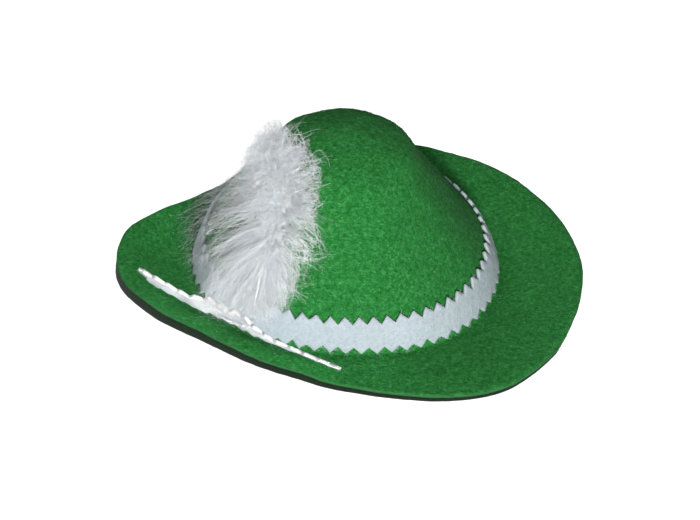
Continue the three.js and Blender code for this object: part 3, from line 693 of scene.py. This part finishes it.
def barbs(name, curves, length, hair, tones, width=0.07, nodes=42):
    """Down: thin curved barbs with fine barbules along both sides, each barbule one triangle."""
    p0, p1, p2 = curves
    n = len(p0)
    t = np.linspace(0, 1, nodes)[None, :, None] * length[:, None, None]
    ctrl = 2 * p1 - (p0 + p2) / 2
    p = p0[:, None] * (1 - t) ** 2 + ctrl[:, None] * 2 * t * (1 - t) + p2[:, None] * t**2
    grow = np.linspace(0, 1, nodes)[None, :, None]
    chord = np.linalg.norm(p2 - p0, axis=1)[:, None, None] / 22
    for turns, sway in ((0.6, 2.0), (1.7, 0.9), (4.1, 0.25)):
        phase = rng.uniform(0, 2 * math.pi, (n, 1, 3))
        p = p + sway * chord * grow * np.sin(grow * turns * 2 * math.pi + phase) * rng.normal(0, 0.7, (n, 1, 3))
    tangent = unit(np.gradient(p, axis=1))
    side = unit(np.cross(tangent, unit(rng.normal(size=(n, 1, 3)))))
    up = np.cross(tangent, side)
    q = p[:, ::3]
    s = side[:, ::3]
    w = width * (1 - 0.75 * grow[:, ::3])
    k = q.shape[1]
    verts = [np.stack([q - s * w / 2, q + s * w / 2], 2).reshape(-1, 3)]
    b = ((np.arange(n)[:, None] * k + np.arange(k - 1)) * 2).reshape(-1, 1)
    faces = [b + (0, 1, 3), b + (0, 3, 2)]
    shade = rng.uniform(*tones, n)
    tone = [np.repeat(shade, 2 * k)]
    base = len(verts[0])
    for sign in (-1, 1):
        spin = rng.normal(0, 0.5, (n, nodes, 1)) + rng.uniform(-1, 1, (n, 1, 1))
        away = side * np.cos(spin) * sign + up * np.sin(spin)
        lean = rng.uniform(0.5, 1.0, (n, nodes, 1))
        size = hair * (1 - 0.6 * grow**1.3) * rng.uniform(0.55, 1.2, (n, nodes, 1))
        tip = p + (tangent * np.cos(lean) + away * np.sin(lean)) * size
        foot = tangent * 0.035
        tri = np.stack([p - foot, p + foot, tip], 2).reshape(-1, 3)
        verts.append(tri)
        faces.append(base + np.arange(len(tri)).reshape(-1, 3))
        base += len(tri)
        tone.append(np.repeat(shade, 3 * nodes))
    verts = np.concatenate(verts)
    verts[:, 2] = np.maximum(verts[:, 2], 0.3)
    return put(make(name, verts, np.concatenate(faces), DOWN, np.concatenate(tone)), "down", "feather")


def quill():
    """The bare quill, and the shaft that runs hidden through the down."""
    key = wall_points(SHAFT)
    t = np.linspace(0, len(key) - 1, 100)
    i = np.clip(t.astype(int), 0, len(key) - 2)
    rows = np.vstack([2 * key[0] - key[1], key, 2 * key[-1] - key[-2], 3 * key[-1] - 2 * key[-2]])
    line = hermite(rows, i, t - i)
    n = Nodes("quill", Roughness=0.28, Specular_IOR_Level=0.6)
    # The quill's faint green cast is painted light: green from the felt seen through the translucent quill.
    horn_with_green_cast = n.ramp(n.noise(1.2, n.coords((1, 1, 0.2))), [(0.3, (0.62, 0.66, 0.62)), (0.7, (0.82, 0.85, 0.82))])
    radius = np.interp(t, [0, 0.6, 3, len(key) - 1], [0.3, 0.45, 0.4, 0.13])
    put(make("feather_quill", *tube(line, radius, 10), n.colour(horn_with_green_cast)), "down", "feather")


def cover():
    """Short barbs lying every way over the middle of the plume, so that no parting shows."""
    count = 1500
    key = wall_points(SHAFT[4:10])
    f = rng.uniform(0, len(key) - 1.001, count)
    i = f.astype(int)
    middle = key[i] + (key[i + 1] - key[i]) * (f - i)[:, None]
    out = unit(middle * (1, 1, 0.6))
    run = unit(key[i + 1] - key[i])
    flat = np.cross(out, run)
    turn = rng.uniform(0, 2 * math.pi, (count, 1))
    go = flat * np.cos(turn) + run * np.sin(turn)
    root = middle + flat * rng.normal(COVER_SHIFT, 4.5, (count, 1)) + run * rng.normal(0, 3, (count, 1)) + out * 3.6
    reach = rng.uniform(4, 11, (count, 1))
    mid = root + go * reach * 0.5 + out * rng.uniform(0.3, 1.6, (count, 1))
    end = root + go * reach + rng.normal(0, 0.8, (count, 3)) - out * 0.4
    # Tones 0.3 to 0.7 over the plume's middle are partly painted shade.
    barbs("feather_cover", (root, mid, end), rng.uniform(0.7, 1.0, count), 1.1, (0.3, 0.7), nodes=34)


def feather():
    quill()
    for name, first, last, clumps, count, hair, dark, light, wander, reach in TUFTS:
        curves = guide_curves(first, last, clumps, count, wander)
        length = np.clip(rng.normal(reach, 0.15, clumps * count), 0.3, 1.1)
        barbs(name, curves, length, hair, (dark, light))
    cover()
    s = np.repeat(wall_points(STRAYS.reshape(-1, 3, 3)), 2, axis=0)
    s[:, 1:] += rng.normal(0, 0.5, s[:, 1:].shape)
    barbs("feather_strays", (s[:, 0], s[:, 1], s[:, 2]), np.ones(len(s)), 0.4, (0.6, 1.0), 0.09)


# Build
body, outer_skin, inner_skin, _ = felt_body()
band, band_face = hat_band()
strip, strip_face = band_strip()
staple()
fuzz("felt_fuzz_outer", outer_skin, 42000, GREEN_FIBRE, "green_felt", (0.8, 2.6), (0.04, 0.08), (0.05, 0.28))
fuzz("felt_fuzz_inner", inner_skin[::-1], 10000, GREEN_FIBRE, "green_felt", (1.0, 3.0), (0.04, 0.08), (0.05, 0.2))
fuzz("band_fuzz", band_face, 13000, PALE_FIBRE, "pale_felt", (0.8, 2.2), (0.035, 0.07), (0.03, 0.16))
fuzz("strip_fuzz", strip_face, 6000, PALE_FIBRE, "pale_felt_strip", (0.8, 2.2), (0.035, 0.07), (0.03, 0.16), closed=False)
feather()

# Stage, light and camera
n = Nodes("table", Roughness=0.6, Specular_IOR_Level=0.2)
paper = n.noise(400, detail=2.0)
floor_material = n.colour(n.ramp(paper, [(0.3, (0.93, 0.93, 0.935)), (0.7, (0.95, 0.95, 0.95))]))
size = 12000
floor = make("table_top", np.array([(-size, -size, -0.02), (size, -size, -0.02), (size, size, -0.02), (-size, size, -0.02)]) + ORIGIN,
             [(0, 1, 2, 3)], floor_material, flat=True)
floor.visible_diffuse = False

world = bpy.data.worlds.new("studio")
bpy.context.scene.world = world
world.use_nodes = True
world.node_tree.nodes["Background"].inputs[0].default_value = (1, 1, 1, 1)
world.node_tree.nodes["Background"].inputs[1].default_value = 0.09
bpy.context.scene.view_settings.view_transform = "Standard"


def look_at(ob, target):
    ob.rotation_mode = "QUATERNION"
    ob.rotation_quaternion = (Vector(target) - ob.location).to_track_quat("-Z", "Y")


def light(name, kind, azimuth, elevation, distance, size, power, receivers):
    """A lamp aimed at the hat that lights only its receivers: the hat's key leaves the table to its own lamp."""
    lamp = bpy.data.lights.new(name, kind)
    lamp.energy = power
    if kind == "AREA":
        lamp.shape = "DISK"
        lamp.size = size
    else:
        lamp.angle = size
    ob = bpy.data.objects.new(name, lamp)
    a, e = math.radians(azimuth), math.radians(elevation)
    ob.location = Vector((math.sin(a) * math.cos(e), -math.cos(a) * math.cos(e), math.sin(e))) * distance
    bpy.context.scene.collection.objects.link(ob)
    look_at(ob, (0, 0, 0.02))
    ob.light_linking.receiver_collection = receivers


hat_only = bpy.data.collections.new("lit_hat")
trim_only = bpy.data.collections.new("lit_trim")
tip_only = bpy.data.collections.new("lit_tip")
for ob in bpy.context.scene.objects:
    if ob.type != "MESH" or ob == floor:
        continue
    hat_only.objects.link(ob)
    if ob.name.startswith("feather") or "strip" in ob.name or "staple" in ob.name:
        trim_only.objects.link(ob)
    if ob.name == "feather_tip":
        tip_only.objects.link(ob)
    ob.visible_shadow = "strip" not in ob.name
table_only = bpy.data.collections.new("lit_table")
table_only.objects.link(floor)
light("key", "AREA", 12, 25, 0.8, 0.14, 5.0, hat_only)
light("fill", "AREA", -12, 22, 1.0, 0.8, 1.4, hat_only)
light("trim_light", "AREA", -40, 50, 0.8, 0.3, 1.0, trim_only)
light("tip_light", "AREA", -20, 50, 0.8, 0.3, 2.2, tip_only)
light("back", "AREA", 212, 34, 1.2, 0.9, 3.6, hat_only)
light("table_lamp", "SUN", 25, 70, 1.5, 0.035, 4.6, table_only)

# Camera: the photograph's angle, 42 degrees up, 3 degrees round and rolled by 2.47 degrees
EL, AZ, ROLL = math.radians(42), math.radians(3), math.radians(2.47)
back = Vector((math.sin(AZ) * math.cos(EL), -math.cos(AZ) * math.cos(EL), math.sin(EL)))
right0 = Vector((math.cos(AZ), math.sin(AZ), 0))
up0 = back.cross(right0)
right = right0 * math.cos(ROLL) + up0 * math.sin(ROLL)
up = up0 * math.cos(ROLL) - right0 * math.sin(ROLL)
camera = bpy.data.objects.new("camera", bpy.data.cameras.new("camera"))
bpy.context.scene.collection.objects.link(camera)
camera.data.sensor_width = 36
camera.data.lens = 36 / 0.38
camera.data.shift_x, camera.data.shift_y = 0.0061, 0.0006
camera.data.clip_start, camera.data.clip_end = 0.02, 20
camera.matrix_world = Matrix.Translation(Vector((-ORIGIN[0], -ORIGIN[1], 2.7)) * MM + back * 0.7) @ Matrix(
    [(right[i], up[i], back[i]) for i in range(3)]
).to_4x4()
bpy.context.scene.camera = camera
